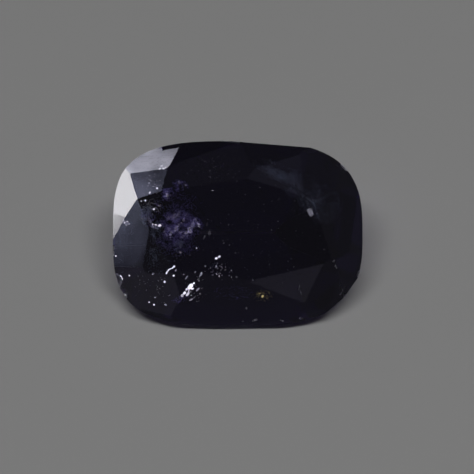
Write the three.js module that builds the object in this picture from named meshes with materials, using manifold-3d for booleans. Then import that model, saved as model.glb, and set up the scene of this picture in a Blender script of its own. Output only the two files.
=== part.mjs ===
// A cut and polished iolite, an antique cushion in a hand-judged native cut, lying on a long pavilion facet.
// Millimetres, +Z up. The stone is cut in its own frame, with the table up, its long side along X and
// the girdle's upper level at z = 0, and is then tipped onto the facet that it rests on.

import * as THREE from "three";
import { mergeVertices } from "three/addons/utils/BufferGeometryUtils.js";
import Module from "manifold-3d";

// Driving dimensions
const LENGTH = 12.0;
const WIDTH = 8.86;
const CROWN_HEIGHT = 1.25;
const GIRDLE_THICKNESS = 0.55;
const PAVILION_DEPTH = 4.1;
const REST_SLOPE = 42;

// The outline's corners: a higher number is a squarer corner
const LEFT_SQUARENESS = 3.4;
const RIGHT_SQUARENESS = 3.0;
const OUTLINE_POINTS = 88;

// The block that stands for the lap is larger than the stone
const LAP_SIZE = 40;

// A chip's flakes differ because each scoop is turned by this many times its own direction
const CHIP_TWIST = 3;

const COLOUR = 0x191527;
const ROUGHNESS = 0.06;

// Each facet has a compass direction and a slope from the girdle's plane, in degrees, and its reach from the
// stone's axis in mm, taken at the table for facets that touch it and at the girdle for the others.
const TABLE_FACETS = [
  { direction: 164, slope: 9, reach: 4.06 },
  { direction: 120, slope: 32, reach: 3.56 },
  { direction: 98, slope: 26, reach: 2.5 },
  { direction: 94, slope: 34, reach: 2.57 },
  { direction: 73, slope: 28, reach: 2.62 },
  { direction: 56, slope: 32, reach: 3.22 },
  { direction: 18, slope: 29, reach: 3.88 },
  { direction: 300, slope: 29, reach: 3.3 },
  { direction: 283, slope: 22, reach: 2.34 },
  { direction: 271, slope: 31, reach: 2.3 },
  { direction: 262, slope: 19, reach: 2.14 },
  { direction: 236, slope: 27, reach: 3.2 },
  { direction: 212, slope: 19, reach: 3.48 },
  { direction: 192, slope: 31, reach: 4.08 },
];

const UPPER_GIRDLE_FACETS = [
  { direction: 170, slope: 50, reach: 5.965 },
  { direction: 167, slope: 50, reach: 5.95 },
  { direction: 111, slope: 46, reach: 4.82 },
  { direction: 97, slope: 40, reach: 4.387 },
  { direction: 84, slope: 37, reach: 4.41 },
  { direction: 38, slope: 40, reach: 5.66 },
  { direction: 6, slope: 44, reach: 5.98 },
  { direction: 336, slope: 42, reach: 6.08 },
  { direction: 314, slope: 40, reach: 5.78 },
  { direction: 287, slope: 42, reach: 4.92 },
  { direction: 246, slope: 42, reach: 5.25 },
  { direction: 212, slope: 35, reach: 5.9 },
];

// Steep, narrow facets that thin the girdle along the upper long side. The first ends in a step, because the
// lap reached only so far to the left of it.
const RIM_FACETS = [
  { direction: 108, slope: 55, reach: 4.764, leftEnd: 2.22 },
  { direction: 91, slope: 57, reach: 4.38 },
  { direction: 84, slope: 57, reach: 4.37 },
];

const PAVILION_MAINS = [
  { direction: 270, slope: REST_SLOPE, reach: 4.58 },
  { direction: 90, slope: 43, reach: 4.5 },
  { direction: 2, slope: 43, reach: 6.2 },
  { direction: 181, slope: 44, reach: 6.1 },
  { direction: 52, slope: 43, reach: 5.75 },
  { direction: 129, slope: 44, reach: 5.95 },
  { direction: 231, slope: 43, reach: 5.86 },
  { direction: 310, slope: 44, reach: 5.72 },
];

// Ground until they touch the outline, and then by their bite, in mm; less than 0 stops short of it
const LOWER_GIRDLE_FACETS = [
  { direction: 12, slope: 57, bite: 0.02 },
  { direction: 33, slope: 58, bite: 0 },
  { direction: 64, slope: 58, bite: 0 },
  { direction: 79, slope: 57, bite: 0.04 },
  { direction: 98, slope: 58, bite: -0.05 },
  { direction: 115, slope: 57, bite: -0.1 },
  { direction: 146, slope: 58, bite: -0.05 },
  { direction: 169, slope: 57, bite: 0 },
  { direction: 191, slope: 58, bite: 0.05 },
  { direction: 213, slope: 57, bite: 0 },
  { direction: 247, slope: 58, bite: 0.04 },
  { direction: 262, slope: 57, bite: 0.06 },
  { direction: 277, slope: 58, bite: 0.06 },
  { direction: 293, slope: 57, bite: 0.05 },
  { direction: 327, slope: 58, bite: 0.03 },
  { direction: 349, slope: 57, bite: 0.05 },
];

// Flats that were left on the outline: the upper long side falls to the right, and the lower right corner is
// cut back
const OUTLINE_FLATS = [
  { direction: 85.5, reach: 4.38 },
  { direction: 271, reach: 4.42 },
  { direction: 311, reach: 5.68 },
  { direction: 325, reach: 5.96 },
];

// Chips on the edge between crown and girdle: where each lies, its scoop's radius, and the reach that
// it leaves, in mm
const CHIPS = [
  { direction: 186.4, height: 0.06, radius: 0.16, reach: 5.93 },
  { direction: 189, height: 0.0, radius: 0.2, reach: 5.98 },
  { direction: 201.5, height: -0.12, radius: 0.42, reach: 6.02 },
  { direction: 207.6, height: -0.22, radius: 0.36, reach: 6.0 },
  { direction: 32.6, height: -0.3, radius: 0.5, reach: 5.92 },
  { direction: 329.6, height: -0.06, radius: 0.34, reach: 5.92 },
  { direction: 341.5, height: 0.0, radius: 0.22, reach: 6.03 },
];

const wasm = await Module();
wasm.setup();

function solidOf(geometry) {
  const plain = geometry.clone();
  plain.deleteAttribute("normal");
  plain.deleteAttribute("uv");
  const merged = mergeVertices(plain);
  return new wasm.Manifold(
    new wasm.Mesh({
      numProp: 3,
      vertProperties: new Float32Array(merged.attributes.position.array),
      triVerts: new Uint32Array(merged.index.array),
    }),
  );
}

function geometryOf(solid) {
  const mesh = solid.getMesh();
  const geometry = new THREE.BufferGeometry();
  geometry.setAttribute("position", new THREE.BufferAttribute(mesh.vertProperties, 3));
  geometry.setIndex(new THREE.BufferAttribute(mesh.triVerts, 1));
  const faceted = geometry.toNonIndexed();
  faceted.computeVertexNormals();
  return faceted;
}

// A point of the outline, a superellipse whose two ends differ
function outlinePoint(angle) {
  const cosine = Math.cos(angle);
  const sine = Math.sin(angle);
  const power = 2 / (cosine < 0 ? LEFT_SQUARENESS : RIGHT_SQUARENESS);
  const x = (LENGTH / 2) * Math.sign(cosine) * Math.abs(cosine) ** power;
  const y = (WIDTH / 2) * Math.sign(sine) * Math.abs(sine) ** power;
  return new THREE.Vector2(x, y);
}

const step = (2 * Math.PI) / OUTLINE_POINTS;
const outline = Array.from({ length: OUTLINE_POINTS }, (_, i) => outlinePoint((i + 0.5) * step));

// The rough, already ground to its outline and as tall as the finished stone
function preform() {
  const below = GIRDLE_THICKNESS + PAVILION_DEPTH;
  const geometry = new THREE.ExtrudeGeometry(new THREE.Shape(outline), {
    depth: below + CROWN_HEIGHT,
    bevelEnabled: false,
  });
  geometry.translate(0, 0, -below);
  return solidOf(geometry);
}

// Grinds away everything beyond a plane through the facet's point, to `leftEnd` along the girdle
function grind(stone, around, tilt, point, leftEnd) {
  const lap = new THREE.BoxGeometry(LAP_SIZE, LAP_SIZE, LAP_SIZE);
  lap.translate(0, leftEnd - LAP_SIZE / 2, LAP_SIZE / 2);
  lap.rotateY(tilt);
  lap.rotateZ(around);
  lap.translate(point.x, point.y, point.z);
  return stone.subtract(solidOf(lap));
}

// How far the outline reaches in one direction
function support(outward) {
  return Math.max(...outline.map((point) => point.x * outward.x + point.y * outward.y));
}

// `side` is 1 on the crown, -1 on the pavilion, and 0 for an upright flat
function cutFacets(stone, facets, level, side) {
  let cut = stone;
  for (const facet of facets) {
    const around = THREE.MathUtils.degToRad(facet.direction);
    const slope = THREE.MathUtils.degToRad(facet.slope ?? 90);
    const tilt = side < 0 ? Math.PI - slope : slope;
    const outward = new THREE.Vector3(Math.cos(around), Math.sin(around), 0);
    const reach = facet.reach ?? support(outward) - facet.bite;
    const point = outward.multiplyScalar(reach).setZ(level);
    cut = grind(cut, around, tilt, point, facet.leftEnd ?? LAP_SIZE / 2);
  }
  return cut;
}

// A chip is a shallow scoop with flat flakes in it, taken out of the girdle's edge
function chip(stone, { direction, height, radius, reach }) {
  const around = THREE.MathUtils.degToRad(direction);
  const scoop = new THREE.IcosahedronGeometry(radius, 1);
  scoop.rotateX(around);
  scoop.rotateZ(around * CHIP_TWIST);
  const distance = reach + radius;
  scoop.translate(distance * Math.cos(around), distance * Math.sin(around), height);
  return stone.subtract(solidOf(scoop));
}

function cutStone() {
  let stone = preform();
  stone = cutFacets(stone, OUTLINE_FLATS, 0, 0);
  stone = cutFacets(stone, TABLE_FACETS, CROWN_HEIGHT, 1);
  stone = cutFacets(stone, UPPER_GIRDLE_FACETS, 0, 1);
  stone = cutFacets(stone, RIM_FACETS, 0, 1);
  stone = cutFacets(stone, PAVILION_MAINS, -GIRDLE_THICKNESS, -1);
  stone = cutFacets(stone, LOWER_GIRDLE_FACETS, -GIRDLE_THICKNESS, -1);
  return CHIPS.reduce(chip, stone);
}

const polishedIolite = new THREE.MeshStandardMaterial({ color: COLOUR, roughness: ROUGHNESS, metalness: 0 });

const stone = new THREE.Mesh(geometryOf(cutStone()), polishedIolite);
stone.name = "cut_stone";

// Tipped about X until the resting facet faces straight down, then set on z = 0 over the origin
stone.rotation.x = THREE.MathUtils.degToRad(REST_SLOPE);
const box = new THREE.Box3().setFromObject(stone, true);
stone.position.set(-(box.min.x + box.max.x) / 2, -(box.min.y + box.max.y) / 2, -box.min.z);

const gem = new THREE.Group();
gem.add(stone);

export default gem;
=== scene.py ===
# A cut iolite on a pale studio floor. Everything is in metres, +Z up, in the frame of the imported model.

import math
import random

import bmesh
import bpy
from mathutils import Matrix, Vector, noise
from mathutils.bvhtree import BVHTree


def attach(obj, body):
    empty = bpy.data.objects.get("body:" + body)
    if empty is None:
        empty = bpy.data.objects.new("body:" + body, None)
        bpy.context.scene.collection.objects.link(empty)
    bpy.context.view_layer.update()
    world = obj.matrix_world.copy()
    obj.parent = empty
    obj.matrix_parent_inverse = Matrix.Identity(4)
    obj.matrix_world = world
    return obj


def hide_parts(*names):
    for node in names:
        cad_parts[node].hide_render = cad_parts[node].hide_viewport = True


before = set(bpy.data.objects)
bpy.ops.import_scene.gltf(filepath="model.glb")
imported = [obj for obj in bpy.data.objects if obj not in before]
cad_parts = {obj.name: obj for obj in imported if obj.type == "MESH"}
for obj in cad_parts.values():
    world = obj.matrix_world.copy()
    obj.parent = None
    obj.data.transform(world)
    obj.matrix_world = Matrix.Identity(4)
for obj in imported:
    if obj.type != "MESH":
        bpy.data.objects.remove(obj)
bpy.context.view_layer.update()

mm = 0.001
print("frame loaded")


def linearColour(hexCode, alpha=1.0):
    channels = [int(hexCode[i:i + 2], 16) / 255 for i in (1, 3, 5)]
    return [c / 12.92 if c <= 0.04045 else ((c + 0.055) / 1.055) ** 2.4 for c in channels] + [alpha]


# Adds a node; a setting named or numbered as an input is that input's value, and otherwise a property
def addNode(tree, kind, settings={}, links={}):
    node = tree.nodes.new(kind)
    for name, value in settings.items():
        if isinstance(name, int) or name in node.inputs:
            node.inputs[name].default_value = value
        else:
            setattr(node, name, value)
    for name, socket in links.items():
        tree.links.new(socket, node.inputs[name])
    return node


def newMaterial(name):
    material = bpy.data.materials.new(name)
    material.use_nodes = True
    material.node_tree.nodes.clear()
    return material, material.node_tree


# The stone's own axes: its table faces along tableAxis, and its upper long side lies along upAxis
restSlope = math.radians(42)
rightAxis = Vector((1, 0, 0))
upAxis = Vector((0, math.cos(restSlope), math.sin(restSlope)))
tableAxis = Vector((0, -math.sin(restSlope), math.cos(restSlope)))


def extent(points, axis):
    reaches = [point.dot(axis) for point in points]
    return min(reaches), max(reaches)


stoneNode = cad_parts["cut_stone"]
stonePoints = [vertex.co for vertex in stoneNode.data.vertices]
xLow, xHigh = extent(stonePoints, rightAxis)
upLow, upHigh = extent(stonePoints, upAxis)
tableLevel = extent(stonePoints, tableAxis)[1]
crownHeight = 1.25 * mm
girdleLevel = tableLevel - crownHeight
stoneLength = xHigh - xLow
# The middle of the outline, at the height of the girdle
stoneCentre = rightAxis * (xLow + xHigh) / 2 + upAxis * (upLow + upHigh) / 2 + tableAxis * girdleLevel

# Camera: straight down on the table, with the stone where the photograph has it
photoFrame = {
    "size": 474,          # pixels, a square picture
    "stoneLeft": 113.0,
    "stoneRight": 362.5,
    "stoneTop": 141.3,
    "stoneBottom": 325.0,
    "lens": 200.0,        # mm, a long lens, because the facets show next to no perspective
    "sensor": 36.0,       # mm
    "clipRange": 100,     # times nearer and farther than the stone, where the camera's sight ends
}


def makeCamera(look):
    pixel = stoneLength / (look["stoneRight"] - look["stoneLeft"])
    middle = look["size"] / 2
    right = middle - (look["stoneLeft"] + look["stoneRight"]) / 2
    up = (look["stoneTop"] + look["stoneBottom"]) / 2 - middle
    target = stoneCentre + rightAxis * right * pixel + upAxis * up * pixel
    data = bpy.data.cameras.new("camera")
    data.lens = look["lens"]
    data.sensor_width = look["sensor"]
    distance = look["size"] * pixel * look["lens"] / look["sensor"]
    data.clip_start = distance / look["clipRange"]
    data.clip_end = distance * look["clipRange"]
    camera = bpy.data.objects.new("camera", data)
    bpy.context.scene.collection.objects.link(camera)
    camera.location = target + tableAxis * distance
    camera.rotation_mode = "QUATERNION"
    camera.rotation_quaternion = (-tableAxis).to_track_quat("-Z", "Y")
    bpy.context.scene.camera = camera
    return camera


camera = makeCamera(photoFrame)
print("camera placed")

# Studio: a matt card to lie on, dim surroundings, and softboxes given by the direction they shine from
studio = {
    "cardRadius": 900,          # mm
    "cardColour": "#c4c4c4",
    "cardGap": 0.01,            # mm, clear of the facet that the stone lies on
    "roomRadiance": 0.17,
    "roomColour": "#dedaf6",
    "behindCamera": 0.75,       # share of the room's light that is left behind the camera
    "behindCameraFrom": 8,      # degrees from the camera's axis to the edge of that darker patch
    "behindCameraTo": 17,
    # Parts of the room that are darker or paler. Each has an amount and fades in along the axes of the
    # direction that it lies in, from the first value to the second.
    "farWall": {                # share of the room's light taken away behind the stone, above the horizon
        "amount": 0.65,
        "fades": (("Y", 0.35, 0.8), ("Z", 0, 0.12)),
    },
    "nearWall": {               # added level with the stone in front, where a pale wall stands
        "amount": 0.16,
        "fades": (("Z", 0.17, 0.05), ("Z", -0.19, -0.12), ("Y", -0.3, -0.6), ("X", 0.45, 0.2)),
    },
    "farFloor": {               # added below the horizon behind the stone, for facets that mirror the floor
        "amount": 0.55,
        "fades": (("Z", -0.8, -0.2), ("Z", 0, -0.06), ("Y", 0.15, 0.5)),
    },
}


def makeCard(look):
    material, tree = newMaterial("mattCard")  # unprinted matt paper: one even tone with no shine
    shader = addNode(tree, "ShaderNodeBsdfPrincipled", {
        "Base Color": linearColour(look["cardColour"]),
        "Roughness": 0.95,
        "Specular IOR Level": 0.0,
    })
    addNode(tree, "ShaderNodeOutputMaterial", links={"Surface": shader.outputs["BSDF"]})
    bm = bmesh.new()
    bmesh.ops.create_circle(bm, cap_ends=True, segments=96, radius=look["cardRadius"] * mm)
    mesh = bpy.data.meshes.new("card")
    bm.to_mesh(mesh)
    bm.free()
    mesh.materials.append(material)
    card = bpy.data.objects.new("card", mesh)
    bpy.context.scene.collection.objects.link(card)
    card.location.z = -look["cardGap"] * mm
    card.visible_glossy = False  # the facets mirror the dim room instead


# Each fade of a part of the room scales the one before it
def makeRoomPart(tree, towards, look):
    strength = None
    for axis, fadeStart, fadeEnd in look["fades"]:
        links = {"Value": towards.outputs[axis]}
        if strength is not None:
            links["To Max"] = strength
        fade = addNode(tree, "ShaderNodeMapRange", {
            "interpolation_type": "SMOOTHSTEP",
            "From Min": fadeStart,
            "From Max": fadeEnd,
            "To Max": look["amount"],
        }, links)
        strength = fade.outputs["Result"]
    return strength


def makeRoom(look):
    world = bpy.data.worlds.new("dimStudio")
    world.use_nodes = True
    tree = world.node_tree
    tree.nodes.clear()
    place = addNode(tree, "ShaderNodeTexCoord")
    towards = addNode(tree, "ShaderNodeSeparateXYZ", links={"Vector": place.outputs["Generated"]})
    alongAxis = addNode(tree, "ShaderNodeVectorMath", {"operation": "DOT_PRODUCT", 1: tableAxis},
                        {0: place.outputs["Generated"]})
    room = addNode(tree, "ShaderNodeMapRange", {
        "interpolation_type": "SMOOTHSTEP",
        "From Min": math.cos(math.radians(look["behindCameraTo"])),
        "From Max": math.cos(math.radians(look["behindCameraFrom"])),
        "To Min": look["roomRadiance"],
        "To Max": look["roomRadiance"] * look["behindCamera"],
    }, {"Value": alongAxis.outputs["Value"]})
    notFar = addNode(tree, "ShaderNodeMath", {"operation": "SUBTRACT", 0: 1},
                     {1: makeRoomPart(tree, towards, look["farWall"])})
    strength = addNode(tree, "ShaderNodeMath", {"operation": "MULTIPLY"},
                       {0: room.outputs["Result"], 1: notFar.outputs[0]})
    for part in (look["nearWall"], look["farFloor"]):
        strength = addNode(tree, "ShaderNodeMath", {"operation": "ADD"},
                           {0: strength.outputs[0], 1: makeRoomPart(tree, towards, part)})
    background = addNode(tree, "ShaderNodeBackground", {"Color": linearColour(look["roomColour"])},
                         {"Strength": strength.outputs[0]})
    addNode(tree, "ShaderNodeOutputWorld", links={"Surface": background.outputs["Background"]})
    bpy.context.scene.world = world
    world.cycles_visibility.diffuse = False  # so that the card stays one even tone


# radiance is what a mirror shows of the lamp, and edge is the share of its half width over which it fades
# out. The first five show in the crown as the camera sees it. The glint lamp is the one that the inclusions
# are turned towards. Those from frontRight to frontLow show in facets that face other sides. The lamps that
# shine through the stone also light its inclusions. Only the overhead lamp lights the card, and the facets
# don't mirror it.
softboxes = {
    "leftCard": {"azimuth": 163, "elevation": 4.8, "distance": 40, "size": (17, 12), "radiance": 9.4,
                 "colour": "#fbfaff", "edge": 0.44},
    "backWindow": {"azimuth": 121.2, "elevation": 34.3, "distance": 160, "size": (27, 36), "radiance": 12.3,
                   "colour": "#ececff", "edge": 1},
    "highPanel": {"azimuth": 149.5, "elevation": 52.1, "distance": 160, "size": (19, 36), "radiance": 3.6,
                  "colour": "#d4d8ff", "edge": 1},
    "leftPanel": {"azimuth": 201.4, "elevation": 13.8, "distance": 160, "size": (33, 55), "radiance": 2.35,
                  "colour": "#d0d8ff", "edge": 1},
    "skyPatch": {"azimuth": 41.6, "elevation": 71, "distance": 420, "size": (110, 110), "radiance": 0.07,
                 "colour": "#d8dcff", "edge": 0.9},
    "glintLamp": {"azimuth": 224, "elevation": 35, "distance": 300, "size": (95, 95), "radiance": 10,
                  "colour": "#ffffff", "edge": 0.2, "throughStone": True},
    "frontRight": {"azimuth": 313, "elevation": 34, "distance": 420, "size": (150, 110), "radiance": 5,
                   "colour": "#f0f0ff", "edge": 0.3, "throughStone": True},
    "backRight": {"azimuth": 49, "elevation": 14, "distance": 420, "size": (150, 90), "radiance": 5,
                  "colour": "#f0f0ff", "edge": 0.3, "throughStone": True},
    "backLeft": {"azimuth": 139, "elevation": 19, "distance": 420, "size": (110, 90), "radiance": 5,
                 "colour": "#f0f0ff", "edge": 0.3, "throughStone": True},
    "highLeft": {"azimuth": 193, "elevation": 44, "distance": 420, "size": (90, 90), "radiance": 2.2,
                 "colour": "#f0f0ff", "edge": 0.6},
    "highRight": {"azimuth": 350, "elevation": 66, "distance": 420, "size": (110, 90), "radiance": 5,
                  "colour": "#f0f0ff", "edge": 0.3},
    "ceiling": {"azimuth": 270, "elevation": 84, "distance": 420, "size": (60, 60), "radiance": 2,
                "colour": "#f0f0ff", "edge": 1},
    "frontLow": {"azimuth": 275, "elevation": 21, "distance": 420, "size": (110, 60), "radiance": 2.5,
                 "colour": "#f0f0ff", "edge": 1},
    "overhead": {"azimuth": 270, "elevation": 71, "distance": 600, "size": (560, 90), "radiance": 11.1,
                 "colour": "#ffffff", "edge": 0.2, "lightsCard": True},
}


def direction(look):
    azimuth = math.radians(look["azimuth"])
    elevation = math.radians(look["elevation"])
    flat = math.cos(elevation)
    return Vector((flat * math.cos(azimuth), flat * math.sin(azimuth), math.sin(elevation)))


def makeSoftbox(name, look):
    towards = direction(look)
    width, height = [side * mm for side in look["size"]]
    data = bpy.data.lights.new(name, "AREA")
    data.shape = "RECTANGLE"
    data.size = width
    data.size_y = height
    data.energy = math.pi * width * height * look["radiance"]
    data.color = linearColour(look["colour"])[:3]
    data.use_nodes = True
    tree = data.node_tree
    tree.nodes.clear()
    place = addNode(tree, "ShaderNodeNewGeometry")
    sides = addNode(tree, "ShaderNodeSeparateXYZ", links={"Vector": place.outputs["Parametric"]})
    fades = []
    for side in ("X", "Y"):
        fromMiddle = addNode(tree, "ShaderNodeMath", {"operation": "SUBTRACT", 1: 0.5},
                             {0: sides.outputs[side]})
        away = addNode(tree, "ShaderNodeMath", {"operation": "ABSOLUTE"}, {0: fromMiddle.outputs[0]})
        fades.append(addNode(tree, "ShaderNodeMapRange", {
            "interpolation_type": "SMOOTHSTEP",
            "From Min": 0.5,
            "From Max": 0.5 - look["edge"] / 2,
        }, {"Value": away.outputs[0]}))
    both = addNode(tree, "ShaderNodeMath", {"operation": "MULTIPLY"},
                   {0: fades[0].outputs["Result"], 1: fades[1].outputs["Result"]})
    emission = addNode(tree, "ShaderNodeEmission", links={"Strength": both.outputs[0]})
    addNode(tree, "ShaderNodeOutputLight", links={"Surface": emission.outputs["Emission"]})
    lamp = bpy.data.objects.new(name, data)
    bpy.context.scene.collection.objects.link(lamp)
    lamp.location = stoneCentre + towards * look["distance"] * mm
    lamp.rotation_mode = "QUATERNION"
    lamp.rotation_quaternion = (-towards).to_track_quat("-Z", "Y")
    lamp.visible_camera = False
    lightsCard = look.get("lightsCard", False)
    lamp.visible_diffuse = lightsCard
    lamp.visible_glossy = not lightsCard
    lamp.visible_transmission = look.get("throughStone", False)


makeCard(studio)
makeRoom(studio)
for name, look in softboxes.items():
    makeSoftbox(name, look)
bpy.context.scene.view_settings.view_transform = "Standard"
print("studio lit")

# The stone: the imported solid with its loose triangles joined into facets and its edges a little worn
stoneLook = {
    "crownWear": 0.018,      # mm, how wide a facet's worn edge is
    "pavilionWear": 0.003,   # mm, less where nothing rubs
    "mergeWithin": 0.002,    # mm, corners of the loose triangles that are nearer are one corner
    "flatWithin": 0.4,       # degrees, triangles that differ less belong to one facet
    "sharpFrom": 3.0,        # degrees, edges that are worn
    "facetArea": 0.08,       # square mm, what is smaller isn't a polished facet
    "facetLean": 0.1,        # cosine to the table's axis, and what has less is the girdle's upright wall
    "roundLean": 0.05,       # what has less than this is shaded as one round wall
    "polished": 0.03,        # roughness of the facets
    "ground": 0.35,          # roughness of the girdle's wall and of the chips
    "absorbDensity": 600.0,  # per metre
    "absorbColour": "#8359b0",
    "indexOfRefraction": 1.54,
    "waves": 2.6,            # mm, hand-held stones are never ground quite flat
    "waveHeight": 0.03,      # mm
}


def makeIolite(look):
    material, tree = newMaterial("polishedIolite")  # clear violet-blue crystal, hand-polished on a lap
    place = addNode(tree, "ShaderNodeTexCoord")
    waves = addNode(tree, "ShaderNodeTexNoise", {
        "Scale": 1 / (look["waves"] * mm),
        "Detail": 2.5,
        "Roughness": 0.35,
    }, {"Vector": place.outputs["Object"]})
    bump = addNode(tree, "ShaderNodeBump", {"Strength": 1.0, "Distance": look["waveHeight"] * mm},
                   {"Height": waves.outputs["Fac"]})
    finish = addNode(tree, "ShaderNodeAttribute", {"attribute_name": "finish"})
    roughness = addNode(tree, "ShaderNodeMapRange", {"To Min": look["polished"], "To Max": look["ground"]},
                        {"Value": finish.outputs["Fac"]})
    shader = addNode(tree, "ShaderNodeBsdfPrincipled", {
        "Base Color": (1, 1, 1, 1),
        "Transmission Weight": 1.0,
        "IOR": look["indexOfRefraction"],
    }, {"Roughness": roughness.outputs["Result"], "Normal": bump.outputs["Normal"]})
    volume = addNode(tree, "ShaderNodeVolumeAbsorption", {
        "Color": linearColour(look["absorbColour"]),
        "Density": look["absorbDensity"],
    })
    addNode(tree, "ShaderNodeOutputMaterial", links={
        "Surface": shader.outputs["BSDF"],
        "Volume": volume.outputs["Volume"],
    })
    return material


def makeStone(look):
    bm = bmesh.new()
    bm.from_mesh(stoneNode.data)
    bmesh.ops.remove_doubles(bm, verts=bm.verts, dist=look["mergeWithin"] * mm)
    flat = math.radians(look["flatWithin"])
    bmesh.ops.dissolve_limit(bm, angle_limit=flat, verts=bm.verts, edges=bm.edges)

    def isFacet(face):
        lean = abs(face.normal.dot(tableAxis))
        return face.calc_area() > look["facetArea"] * mm * mm and lean > look["facetLean"]

    finish = bm.faces.layers.float.new("finish")
    for face in bm.faces:
        face[finish] = 0.0 if isFacet(face) else 1.0  # the girdle's wall and the chips stay unpolished
    for width, side in ((look["crownWear"], 1), (look["pavilionWear"], -1)):
        worn = [
            edge for edge in bm.edges
            if len(edge.link_faces) == 2
            and all(isFacet(face) and face.normal.dot(tableAxis) * side > 0 for face in edge.link_faces)
            and edge.calc_face_angle() > math.radians(look["sharpFrom"])
        ]
        bmesh.ops.bevel(bm, geom=worn, offset=width * mm, offset_type="WIDTH", segments=2, profile=0.5,
                        affect="EDGES", material=-1, clamp_overlap=True)
        print("worn edges", len(worn))
    for face in bm.faces:
        face.smooth = abs(face.normal.dot(tableAxis)) < look["roundLean"]
    mesh = bpy.data.meshes.new("iolite")
    bm.to_mesh(mesh)
    bm.free()
    mesh.materials.append(makeIolite(look))
    stone = bpy.data.objects.new("iolite", mesh)
    bpy.context.scene.collection.objects.link(stone)
    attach(stone, "root")
    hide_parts("cut_stone")
    return stone


stone = makeStone(stoneLook)
stoneTree = BVHTree.FromObject(stone, bpy.context.evaluated_depsgraph_get())
print("stone cut")


# Light that goes into the stone through a facet
def bend(ray, facet):
    ratio = 1 / stoneLook["indexOfRefraction"]
    cosine = -ray.dot(facet)
    bent = math.sqrt(1 - ratio ** 2 * (1 - cosine ** 2))
    return (ray * ratio + facet * (ratio * cosine - bent)).normalized()


# Places of inclusions are in mm to the right of and above the middle of the outline, where the eye sees them
# through the crown
def eyeRay(x, y):
    return (stoneCentre + (rightAxis * x + upAxis * y) * mm - camera.location).normalized()


def isOnStone(x, y):
    return stoneTree.ray_cast(camera.location, eyeRay(x, y))[0] is not None


grazing = 0.1  # cosine, and light that meets a facet with less hardly goes in


# The way that the glint lamp's light takes to a place in the stone, which may go through the next facet
def shineOn(place, facet):
    lampRay = -direction(softboxes["glintLamp"])
    shine = bend(lampRay, facet)
    entry = stoneTree.ray_cast(place, -shine)[1]
    return bend(lampRay, entry) if entry and entry.dot(lampRay) < -grazing else shine


# depth is how far behind the facet a flake lies. It faces halfway between the eye and the glint lamp, give
# or take its tilt in degrees, so that it lights up.
def flakeMatrix(x, y, depth, size, turn, tilt, chance):
    ray = eyeRay(x, y)
    hit, facet = stoneTree.ray_cast(camera.location, ray)[:2]
    inwards = bend(ray, facet)
    place = hit + inwards * depth * mm
    facing = -(inwards + shineOn(place, facet)).normalized()
    axis = Vector([chance.gauss(0, 1) for i in range(3)])
    facing.rotate(Matrix.Rotation(math.radians(chance.gauss(0, tilt)), 3, axis))
    along = rightAxis * math.cos(math.radians(turn)) + upAxis * math.sin(math.radians(turn))
    along = (along - facing * along.dot(facing)).normalized()
    basis = Matrix((along, facing.cross(along), facing)).transposed().to_4x4()
    scale = Matrix.Diagonal([side * mm / 2 for side in size] + [1])
    return Matrix.Translation(place) @ basis @ scale


def makeTemplate(name, bm):
    mesh = bpy.data.meshes.new(name)
    bm.to_mesh(mesh)
    bm.free()
    return mesh


def makeFleck():
    bm = bmesh.new()
    bmesh.ops.create_cone(bm, cap_ends=True, segments=3, radius1=0, radius2=1, depth=2)
    return makeTemplate("fleck", bm)


def makePlate():
    bm = bmesh.new()
    bmesh.ops.create_cone(bm, cap_ends=True, segments=18, radius1=0.9, radius2=1, depth=2)
    return makeTemplate("plate", bm)


fleck = makeFleck()
plate = makePlate()


# How flakes differ from one another
flakeHabit = {
    "raggedEvery": 0.07,       # mm, the distance over which a ragged outline changes
    "raggedSeed": 3,           # any whole number but 0, which takes the time and changes from run to run
    "gaps": (-0.55, 0.35),     # a lump of noise below a random level in this range stays empty
    "depthEvery": 0.4,         # mm, the distance over which the depth of strewn flakes changes
    "slenderness": (0.4, 1),   # width as a share of the length
    "thickness": 0.1,          # as a share of the length
    "lieSpread": 15,           # degrees
}
noise.seed_set(flakeHabit["raggedSeed"])


# ragged, in mm, is how far the outline of a flake strays
def addFlake(bm, template, matrix, ragged=0.0):
    flake = template.copy()
    flake.transform(matrix)
    facing = matrix.to_3x3().col[2].normalized()
    for vertex in flake.vertices:
        stray = noise.noise_vector(vertex.co / (flakeHabit["raggedEvery"] * mm)) * ragged * mm
        vertex.co += stray - facing * stray.dot(facing)
    bm.from_mesh(flake)
    bpy.data.meshes.remove(flake)


# Flakes strewn about a place, ever fewer to where spread ends; lumps is how many lie along that reach
def strew(bm, look, chance):
    across, up = look["spread"]
    turn = Matrix.Rotation(math.radians(look.get("turn", 0)), 3, "Z")
    near, far = look["depth"]
    lumps = look.get("lumps", 0)
    left = look["count"]
    while left:
        angle = chance.uniform(0, 2 * math.pi)
        reach = math.sqrt(1 - math.sqrt(chance.random()))
        place = Vector((math.cos(angle), math.sin(angle), 0)) * reach
        density = noise.fractal(place * lumps + Vector((0, 0, across)), 1.0, 2.0, 2)
        if lumps and density < chance.uniform(*flakeHabit["gaps"]):
            continue
        here = Vector((*look["at"], 0)) + turn @ Vector((place.x * across, place.y * up, 0))
        if not isOnStone(here.x, here.y):
            continue
        depth = near + (far - near) * (0.5 + 0.5 * noise.noise(here / flakeHabit["depthEvery"]))
        size = chance.uniform(*look["size"])
        width = size * chance.uniform(*flakeHabit["slenderness"])
        shape = (size, width, size * flakeHabit["thickness"])
        lie = look.get("lie", chance.uniform(0, 180)) + chance.gauss(0, flakeHabit["lieSpread"])
        addFlake(bm, fleck, flakeMatrix(here.x, here.y, depth, shape, lie, look["tilt"], chance))
        left -= 1


def makeInclusionMaterial(name, colour, metallic, roughness):
    material, tree = newMaterial(name)
    shader = addNode(tree, "ShaderNodeBsdfPrincipled", {
        "Base Color": linearColour(colour),
        "Metallic": metallic,
        "Roughness": roughness,
    })
    addNode(tree, "ShaderNodeOutputMaterial", links={"Surface": shader.outputs["BSDF"]})
    return material


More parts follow.
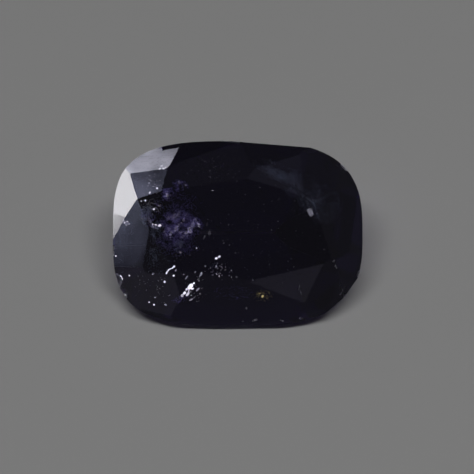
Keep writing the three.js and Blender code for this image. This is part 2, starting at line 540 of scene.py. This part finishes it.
def finishInclusion(name, bm, material):
    mesh = bpy.data.meshes.new(name)
    bm.to_mesh(mesh)
    bm.free()
    mesh.materials.append(material)
    piece = bpy.data.objects.new(name, mesh)
    bpy.context.scene.collection.objects.link(piece)
    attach(piece, "root")
    print(name, len(mesh.polygons), "faces")


# An open crack holds a film of air, which mirrors light like silver, and the less the tighter it is. Where a
# crack has closed, only a dark gleam is left. A flake of mica has a pearly gleam. Metallic stands for the
# mirror that such a film is.
film = {
    "thickness": 0.01,  # mm
    "ragged": 0.012,    # mm
    "metallic": 0.9,
    "roughness": 0.3,
}

# Flakes are x, y, length, width and turn
cracks = {
    "airCracks": {
        "material": "airFilm", "colour": "#c8c8d0", "depth": 0.22, "tilt": 3,
        "streak": (
            (-2.28, -2.57, 0.36, 0.2, 48), (-2.46, -2.71, 0.12, 0.09, 50), (-2.18, -2.67, 0.14, 0.09, 20),
            (-2.67, -3.0, 0.16, 0.13, 50), (-2.56, -2.88, 0.18, 0.13, 50), (-2.4, -2.92, 0.26, 0.11, 48),
            (-2.36, -2.78, 0.09, 0.06, 60), (-2.11, -2.41, 0.1, 0.08, 40),
        ),
        "squiggle": (
            (-3.42, -1.9, 0.14, 0.07, 55), (-3.34, -1.79, 0.16, 0.06, 60), (-3.25, -1.72, 0.14, 0.06, 20),
            (-3.14, -1.68, 0.1, 0.06, 40), (-3.06, -1.6, 0.12, 0.1, 0), (-3.07, -2.04, 0.08, 0.08, 20),
        ),
        "pairs": (
            (-1.03, -1.21, 0.14, 0.1, 20), (-0.89, -1.13, 0.14, 0.1, 30),
            (-4.08, 0.43, 0.07, 0.06, 0), (-3.94, 0.4, 0.13, 0.06, -15), (-3.76, 0.37, 0.16, 0.11, 15),
            (-3.66, 3.23, 0.11, 0.1, 0), (-3.74, 3.1, 0.12, 0.07, 30), (-3.58, 3.12, 0.11, 0.07, -30),
            (-3.47, 3.15, 0.07, 0.06, 0),
        ),
        "chips": (
            (-5.78, -2.03, 0.22, 0.06, 10), (-5.62, -2.07, 0.16, 0.07, -40), (-5.56, -2.2, 0.14, 0.06, -90),
            (-5.62, -2.34, 0.16, 0.06, -140), (-5.86, -1.1, 0.1, 0.06, 80), (-5.93, -0.7, 0.08, 0.05, 90),
            (-5.56, -2.73, 0.13, 0.07, -60), (-5.38, -2.95, 0.12, 0.07, -50),
        ),
        "dots": (
            (-3.51, -2.34, 0.11, 0.11, 0), (-5.21, -2.04, 0.07, 0.06, 0), (-4.26, -3.33, 0.07, 0.06, 0),
            (-4.02, -3.44, 0.09, 0.08, 0), (-3.97, -3.1, 0.06, 0.06, 0), (-1.98, -0.72, 0.07, 0.06, 0),
            (-3.87, 2.16, 0.1, 0.09, 0), (-4.23, 1.95, 0.1, 0.07, 60), (-4.64, 1.54, 0.06, 0.06, 0),
            (-4.44, 1.57, 0.08, 0.08, 0), (-4.03, 1.15, 0.1, 0.09, 0), (-5.43, 0.5, 0.08, 0.07, 0),
            (-5.3, 0.56, 0.08, 0.07, 30), (-5.36, 0.38, 0.06, 0.05, 0), (-5.22, 0.44, 0.07, 0.04, 0),
            (-5.5, 0.62, 0.06, 0.05, 0),
        ),
        "glitter": (
            {"at": (-4.15, 1.3), "spread": (0.6, 0.5), "size": (0.015, 0.035), "count": 120, "tilt": 12},
            {"at": (-4.0, 2.4), "spread": (0.5, 0.6), "size": (0.015, 0.04), "count": 50, "tilt": 12},
            {"at": (-4.0, -2.5), "spread": (1.1, 1.1), "size": (0.02, 0.05), "count": 50, "tilt": 15},
            {"at": (-0.75, -1.8), "spread": (0.7, 0.5), "size": (0.03, 0.1), "count": 36, "tilt": 20},
            {"at": (-2.0, -2.7), "spread": (0.6, 0.7), "size": (0.02, 0.06), "count": 30, "tilt": 12,
             "lie": 45},
            {"at": (0, 0), "spread": (5, 3), "size": (0.02, 0.05), "count": 60, "tilt": 28},
        ),
    },
    "thinCracks": {
        "material": "thinAirFilm", "colour": "#6c6c74", "depth": 0.22, "tilt": 3,
        "besideStreak": (
            (-1.77, -1.98, 0.22, 0.09, 55), (-1.92, -2.71, 0.22, 0.08, 45), (-2.24, -3.2, 0.22, 0.07, 35),
            (-2.46, -2.13, 0.22, 0.06, 50), (-3.48, -3.44, 0.13, 0.08, -20),
        ),
    },
    "tightCracks": {
        "material": "tightAirFilm", "colour": "#585860", "depth": 0.22, "tilt": 3,
        "besideStreak": (
            (-2.07, -3.07, 0.18, 0.04, 45), (-2.98, -1.8, 0.1, 0.06, 50), (-1.56, -1.59, 0.1, 0.09, 0),
            (-2.03, -1.86, 0.12, 0.06, 40), (-2.6, -1.98, 0.08, 0.06, 0),
        ),
        "single": (
            (-2.76, -0.93, 0.1, 0.09, 0), (-0.05, -2.11, 0.1, 0.06, -20), (-4.26, 2.41, 0.08, 0.07, 0),
            (-4.07, -1.96, 0.08, 0.08, 0), (-3.46, -3.44, 0.07, 0.06, 0),
        ),
        "inCloud": (
            (-2.97, 0.2, 0.16, 0.06, 60), (-2.31, 0.17, 0.2, 0.08, 110), (-2.46, 0.03, 0.14, 0.05, 15),
            (-1.87, 0.36, 0.18, 0.05, 120), (-3.19, 0.03, 0.12, 0.06, 70), (-2.61, 0.62, 0.08, 0.07, 60),
            (-2.84, 0.4, 0.12, 0.04, 50), (-3.36, 0.75, 0.08, 0.05, 40), (-3.38, 1.8, 0.16, 0.05, 95),
            (-3.36, 1.82, 0.14, 0.05, 10), (-2.86, 2.42, 0.07, 0.06, 0), (-2.5, 2.33, 0.07, 0.05, 0),
        ),
    },
    "hexagonalPlate": {
        "material": "grownMica", "colour": "#4a4a50", "depth": 0.22, "tilt": 3, "ragged": 0.03,
        "plate": (
            (3.48, 1.04, 0.3, 0.26, 70), (3.53, 0.92, 0.24, 0.22, 10), (3.42, 1.13, 0.2, 0.16, 40),
        ),
    },
    "closedCracks": {
        "material": "closedFilm", "colour": "#2a2a2e", "depth": 0.22, "tilt": 3,
        "besideStreak": (
            (-1.96, -3.28, 0.12, 0.08, 0), (-1.88, -2.21, 0.12, 0.09, 50), (-1.0, -1.66, 0.1, 0.08, 0),
            (-0.6, -1.75, 0.12, 0.07, 30),
        ),
        "single": (
            (-1.36, 0.0, 0.24, 0.12, 80), (-1.6, -0.18, 0.24, 0.07, 65), (-1.48, 0.42, 0.18, 0.05, 85),
            (-4.6, 0.7, 0.11, 0.09, 0), (-3.86, 1.17, 0.2, 0.05, -50), (0.42, -3.6, 0.12, 0.1, 0),
        ),
        "fleck": ((2.95, -2.62, 0.3, 0.07, 80), (3.03, -2.85, 0.26, 0.05, 105)),
        "lowerRim": (
            (0.24, -4.24, 0.11, 0.08, 0), (0.82, -4.19, 0.28, 0.12, 20), (2.09, -4.2, 0.22, 0.1, -15),
            (3.04, -4.1, 0.16, 0.1, 20), (5.12, -2.66, 0.2, 0.1, 50), (4.97, -2.88, 0.26, 0.09, 60),
        ),
        "upperRim": (
            (4.78, 3.24, 0.12, 0.08, -40), (4.96, 3.08, 0.14, 0.08, -50), (5.1, 2.9, 0.12, 0.07, -50),
        ),
        "rightEdge": ((4.62, -1.36, 0.12, 0.12, 0), (4.72, -1.62, 0.22, 0.05, -70)),
        "glitter": (
            {"at": (-1.3, 3.1), "spread": (1.5, 0.8), "size": (0.05, 0.11), "count": 70, "tilt": 9},
            {"at": (0, 0), "spread": (5, 3.4), "size": (0.04, 0.1), "count": 160, "tilt": 14},
        ),
    },
}


glitterDepth = (0.15, 0.4)  # mm


# Every tuple in a crack's look is a group of flakes
def makeCracks(name, look, chance):
    bm = bmesh.new()
    for group, flakes in look.items():
        if group == "glitter":
            for glitter in flakes:
                strew(bm, {"depth": glitterDepth, **glitter}, chance)
        elif isinstance(flakes, tuple):
            for x, y, length, width, turn in flakes:
                size = (length, width, film["thickness"])
                matrix = flakeMatrix(x, y, look["depth"], size, turn, look["tilt"], chance)
                addFlake(bm, plate, matrix, look.get("ragged", film["ragged"]))
    material = makeInclusionMaterial(look["material"], look["colour"], film["metallic"], film["roughness"])
    finishInclusion(name, bm, material)


chance = random.Random(4)
for name, look in cracks.items():
    makeCracks(name, look, chance)

# A healed crack is a veil of tiny pockets of fluid, which look milky. The haze is also painted violet, for
# the tint of the light that reaches it through the stone. The finest, close under the facets, look pale
# blue, and what is left of the film between them gleams.
veils = {
    "haze": {
        # milky pockets painted violet: the colour stands for the tint of the light that comes through the
        # stone
        "material": "healedPockets", "colour": "#a198f4", "metallic": 0.3, "roughness": 0.5,
        "common": {"depth": (0.3, 1.1), "size": (0.01, 0.024), "tilt": 22, "lumps": 2.5},
        "clouds": (
            {"at": (-2.87, 0.33), "spread": (1.0, 0.86), "count": 6800},
            {"at": (-2.1, 0.35), "spread": (0.45, 0.5), "count": 1200},
            {"at": (-3.38, 1.88), "spread": (0.34, 0.34), "count": 450},
            {"at": (-2.76, 2.34), "spread": (0.42, 0.26), "turn": -10, "count": 350},
            {"at": (-2.9, 1.3), "spread": (1.3, 0.7), "count": 1000},
            {"at": (-4.25, 0.7), "spread": (0.7, 0.35), "turn": -50, "count": 300},
            {"at": (-2.9, -0.5), "spread": (1.2, 0.7), "count": 1400},
            {"at": (-2.75, -3.17), "spread": (0.5, 0.18), "turn": 10, "count": 240},
            {"at": (-0.2, -2.9), "spread": (1.1, 0.4), "count": 240},
        ),
    },
    "paleVeil": {
        "material": "finestPockets", "colour": "#b4c6e4", "metallic": 0.3, "roughness": 0.5,
        "common": {"depth": (0.1, 0.3), "size": (0.008, 0.016), "tilt": 22, "lumps": 1.6},
        "clouds": (
            {"at": (1.95, 2.95), "spread": (1.4, 0.5), "turn": -20, "count": 3000},
            {"at": (3.0, 2.2), "spread": (1.3, 0.8), "turn": -35, "count": 1700},
            {"at": (4.0, 1.4), "spread": (1.2, 1.0), "turn": -20, "count": 3000},
            {"at": (-5.3, -0.6), "spread": (0.6, 1.6), "count": 700},
            {"at": (-4.35, 0.85), "spread": (0.4, 0.6), "count": 1100},
            {"at": (-3.8, -0.8), "spread": (0.9, 1.3), "count": 900},
            {"at": (-2.78, -0.63), "spread": (0.34, 0.4), "count": 600},
            {"at": (-3.88, 0.1), "spread": (0.34, 0.5), "count": 700},
            {"at": (-2.11, 0.33), "spread": (0.26, 0.3), "count": 300},
            {"at": (-4.1, -0.87), "spread": (0.2, 0.2), "count": 110},
            {"at": (-3.97, -1.32), "spread": (0.2, 0.34), "count": 180},
            {"at": (-1.09, -1.66), "spread": (0.26, 0.3), "count": 180},
        ),
    },
    # Strokes are x, y, length, width, turn and count
    "wisps": {
        "material": "healedFilm", "colour": "#e0dcff", "metallic": 0.7, "roughness": 0.4,
        "common": {"depth": (0.2, 0.5), "size": (0.01, 0.028), "tilt": 9},
        "strokes": (
            (-3.33, 0.72, 0.2, 0.12, 50, 30), (-3.08, 0.83, 0.34, 0.13, 55, 60),
            (-2.86, 0.93, 0.34, 0.13, 50, 56), (-2.95, 0.75, 0.5, 0.2, 30, 60),
            (-2.61, 0.62, 0.16, 0.14, 60, 60), (-2.46, 0.87, 0.18, 0.1, 60, 20),
            (-2.97, 0.2, 0.32, 0.17, 65, 170), (-2.84, 0.38, 0.28, 0.1, 55, 40),
            (-2.72, 0.5, 0.16, 0.1, 50, 16), (-3.19, 0.03, 0.26, 0.13, 60, 80),
            (-3.24, -0.13, 0.26, 0.1, 100, 44), (-3.29, 0.22, 0.22, 0.13, 70, 50),
            (-3.53, 0.09, 0.12, 0.1, 0, 24), (-3.44, -0.09, 0.26, 0.08, 120, 30),
            (-2.46, 0.02, 0.26, 0.13, 20, 120), (-2.63, -0.16, 0.28, 0.1, 30, 60),
            (-2.42, -0.14, 0.18, 0.09, 60, 30), (-2.75, 0.03, 0.18, 0.13, 0, 40),
            (-2.31, 0.15, 0.32, 0.2, 115, 240), (-2.2, 0.34, 0.32, 0.13, 70, 90),
            (-2.1, 0.56, 0.34, 0.14, 55, 80), (-2.03, 0.7, 0.22, 0.1, 50, 26),
            (-1.86, 0.38, 0.26, 0.13, 115, 110), (-1.97, 0.54, 0.26, 0.09, 110, 36),
            (-2.12, 0.33, 0.3, 0.3, 0, 50), (-3.38, 1.8, 0.4, 0.08, 95, 90),
            (-3.38, 1.8, 0.36, 0.08, 10, 70), (-3.38, 1.82, 0.14, 0.12, 0, 60),
            (-3.4, 1.85, 0.3, 0.07, 140, 40), (-2.82, 2.44, 0.18, 0.12, 60, 50),
            (-2.5, 2.32, 0.1, 0.09, 0, 40), (-4.28, 0.62, 0.7, 0.2, -54, 110),
            (-5.36, 0.5, 0.36, 0.2, -20, 60), (-4.0, 0.3, 0.36, 0.22, -20, 60),
            (-2.77, -0.6, 0.26, 0.14, 80, 20), (-3.6, 0.3, 0.5, 0.3, 0, 20),
        ),
    },
}


strokeReach = 0.6  # share of a stroke's length and width that its flakes reach from its middle


def makeVeil(name, look, chance):
    bm = bmesh.new()
    for cloud in look.get("clouds", ()):
        strew(bm, {**look["common"], **cloud}, chance)
    for x, y, length, width, turn, count in look.get("strokes", ()):
        strew(bm, {
            **look["common"],
            "at": (x, y),
            "spread": (length * strokeReach, width * strokeReach),
            "turn": turn,
            "lie": turn,
            "count": count,
        }, chance)
    material = makeInclusionMaterial(look["material"], look["colour"], look["metallic"], look["roughness"])
    finishInclusion(name, bm, material)


chance = random.Random(7)
for name, look in veils.items():
    makeVeil(name, look, chance)

# A grain of zircon and a smaller one beside it, in the brown halo that zircon burns into its host
grains = {
    "colour": "#b0a468",
    "depth": 0.15,             # mm
    "tilt": 2,                 # degrees
    "ragged": 0.02,            # mm
    "stain": "#746a34",
    "stainMetallic": 0.5,
    "stainRoughness": 0.4,
    "bright": ((1.19, -3.04, 0.14, 0.09, 40), (1.06, -2.91, 0.05, 0.04, 0)),
    "halo": {"at": (1.22, -2.98), "spread": (0.52, 0.34), "size": (0.02, 0.05), "count": 200, "tilt": 12,
             "depth": (0.15, 0.3)},
}


def makeGrains(look):
    chance = random.Random(9)
    bright = bmesh.new()
    for x, y, length, width, turn in look["bright"]:
        size = (length, width, film["thickness"])
        matrix = flakeMatrix(x, y, look["depth"], size, turn, look["tilt"], chance)
        addFlake(bright, plate, matrix, look["ragged"])
    zircon = makeInclusionMaterial("grownZircon", look["colour"], film["metallic"], film["roughness"])
    finishInclusion("yellowGrains", bright, zircon)
    halo = bmesh.new()
    strew(halo, look["halo"], chance)
    stain = makeInclusionMaterial("burntHalo", look["stain"], look["stainMetallic"], look["stainRoughness"])
    finishInclusion("brownStain", halo, stain)


makeGrains(grains)
bpy.data.meshes.remove(fleck)
bpy.data.meshes.remove(plate)
print("inclusions placed")
